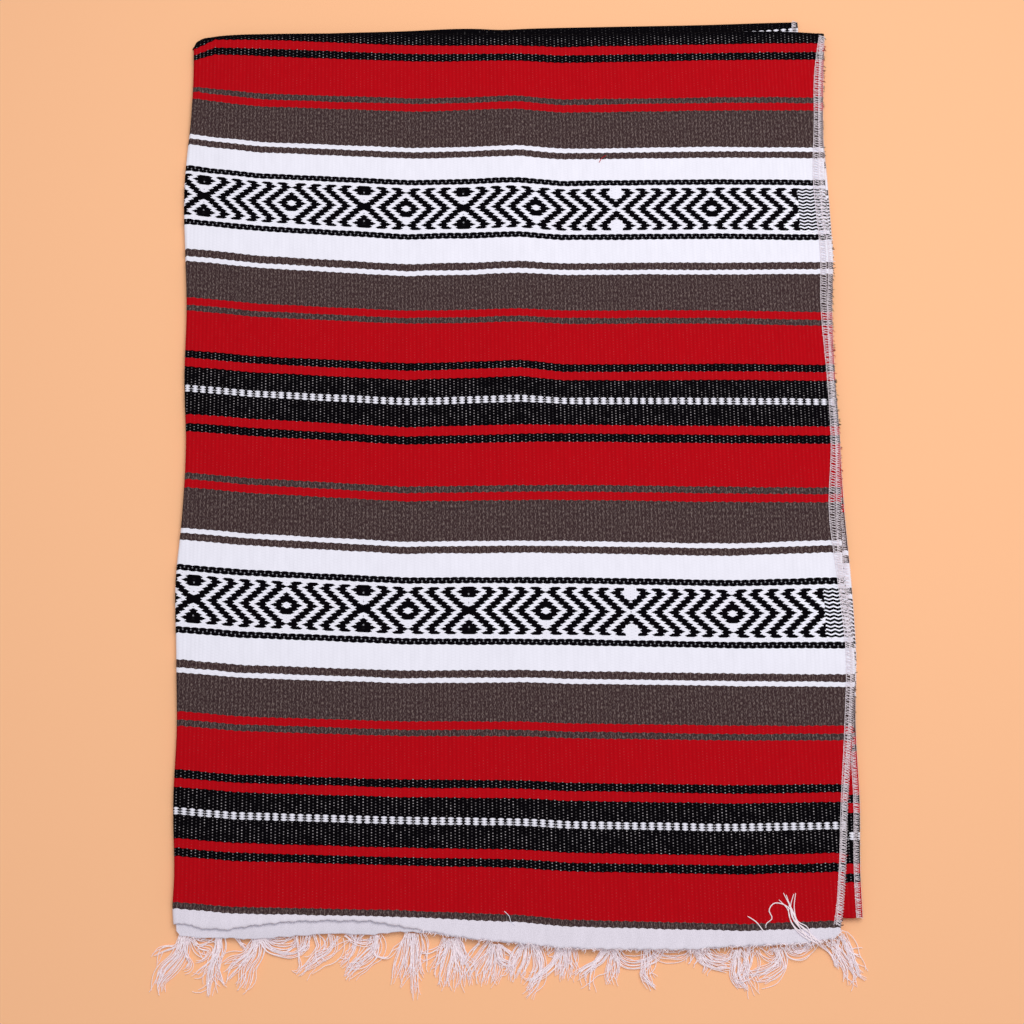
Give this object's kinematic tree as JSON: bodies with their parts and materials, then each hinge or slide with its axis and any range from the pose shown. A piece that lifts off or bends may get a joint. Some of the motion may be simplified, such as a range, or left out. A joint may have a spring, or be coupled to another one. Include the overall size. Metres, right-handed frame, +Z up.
{
  "type": "mexican serape, folded in quarters and laid flat",
  "caption": "Striped woven serape blanket folded in quarters and lying flat, with serged sides, a white heading and a loose warp fringe.",
  "frame": {"origin": "centre of the footprint, on the surface that the folded serape lies on", "axes": "+Z up, +Y away from the fringed hem along the folded length, +X across it, from the folded side towards the serged side"},
  "size_m": [0.7702, 1.1324, 0.0127],
  "materials": {
    "striped_cloth": "weft-faced rep weave, matt, in red, black, grey-brown and white stripes",
    "hidden_cloth": "the same striped cloth, seen at its edges",
    "warp_yarn": "white spun cotton yarn"
  },
  "bodies": {
    "root": {"front_quarter": "striped_cloth", "under_quarters": "hidden_cloth", "fringe": "warp_yarn", "turned_up_tuft": "warp_yarn"}
  },
  "joints": []
}
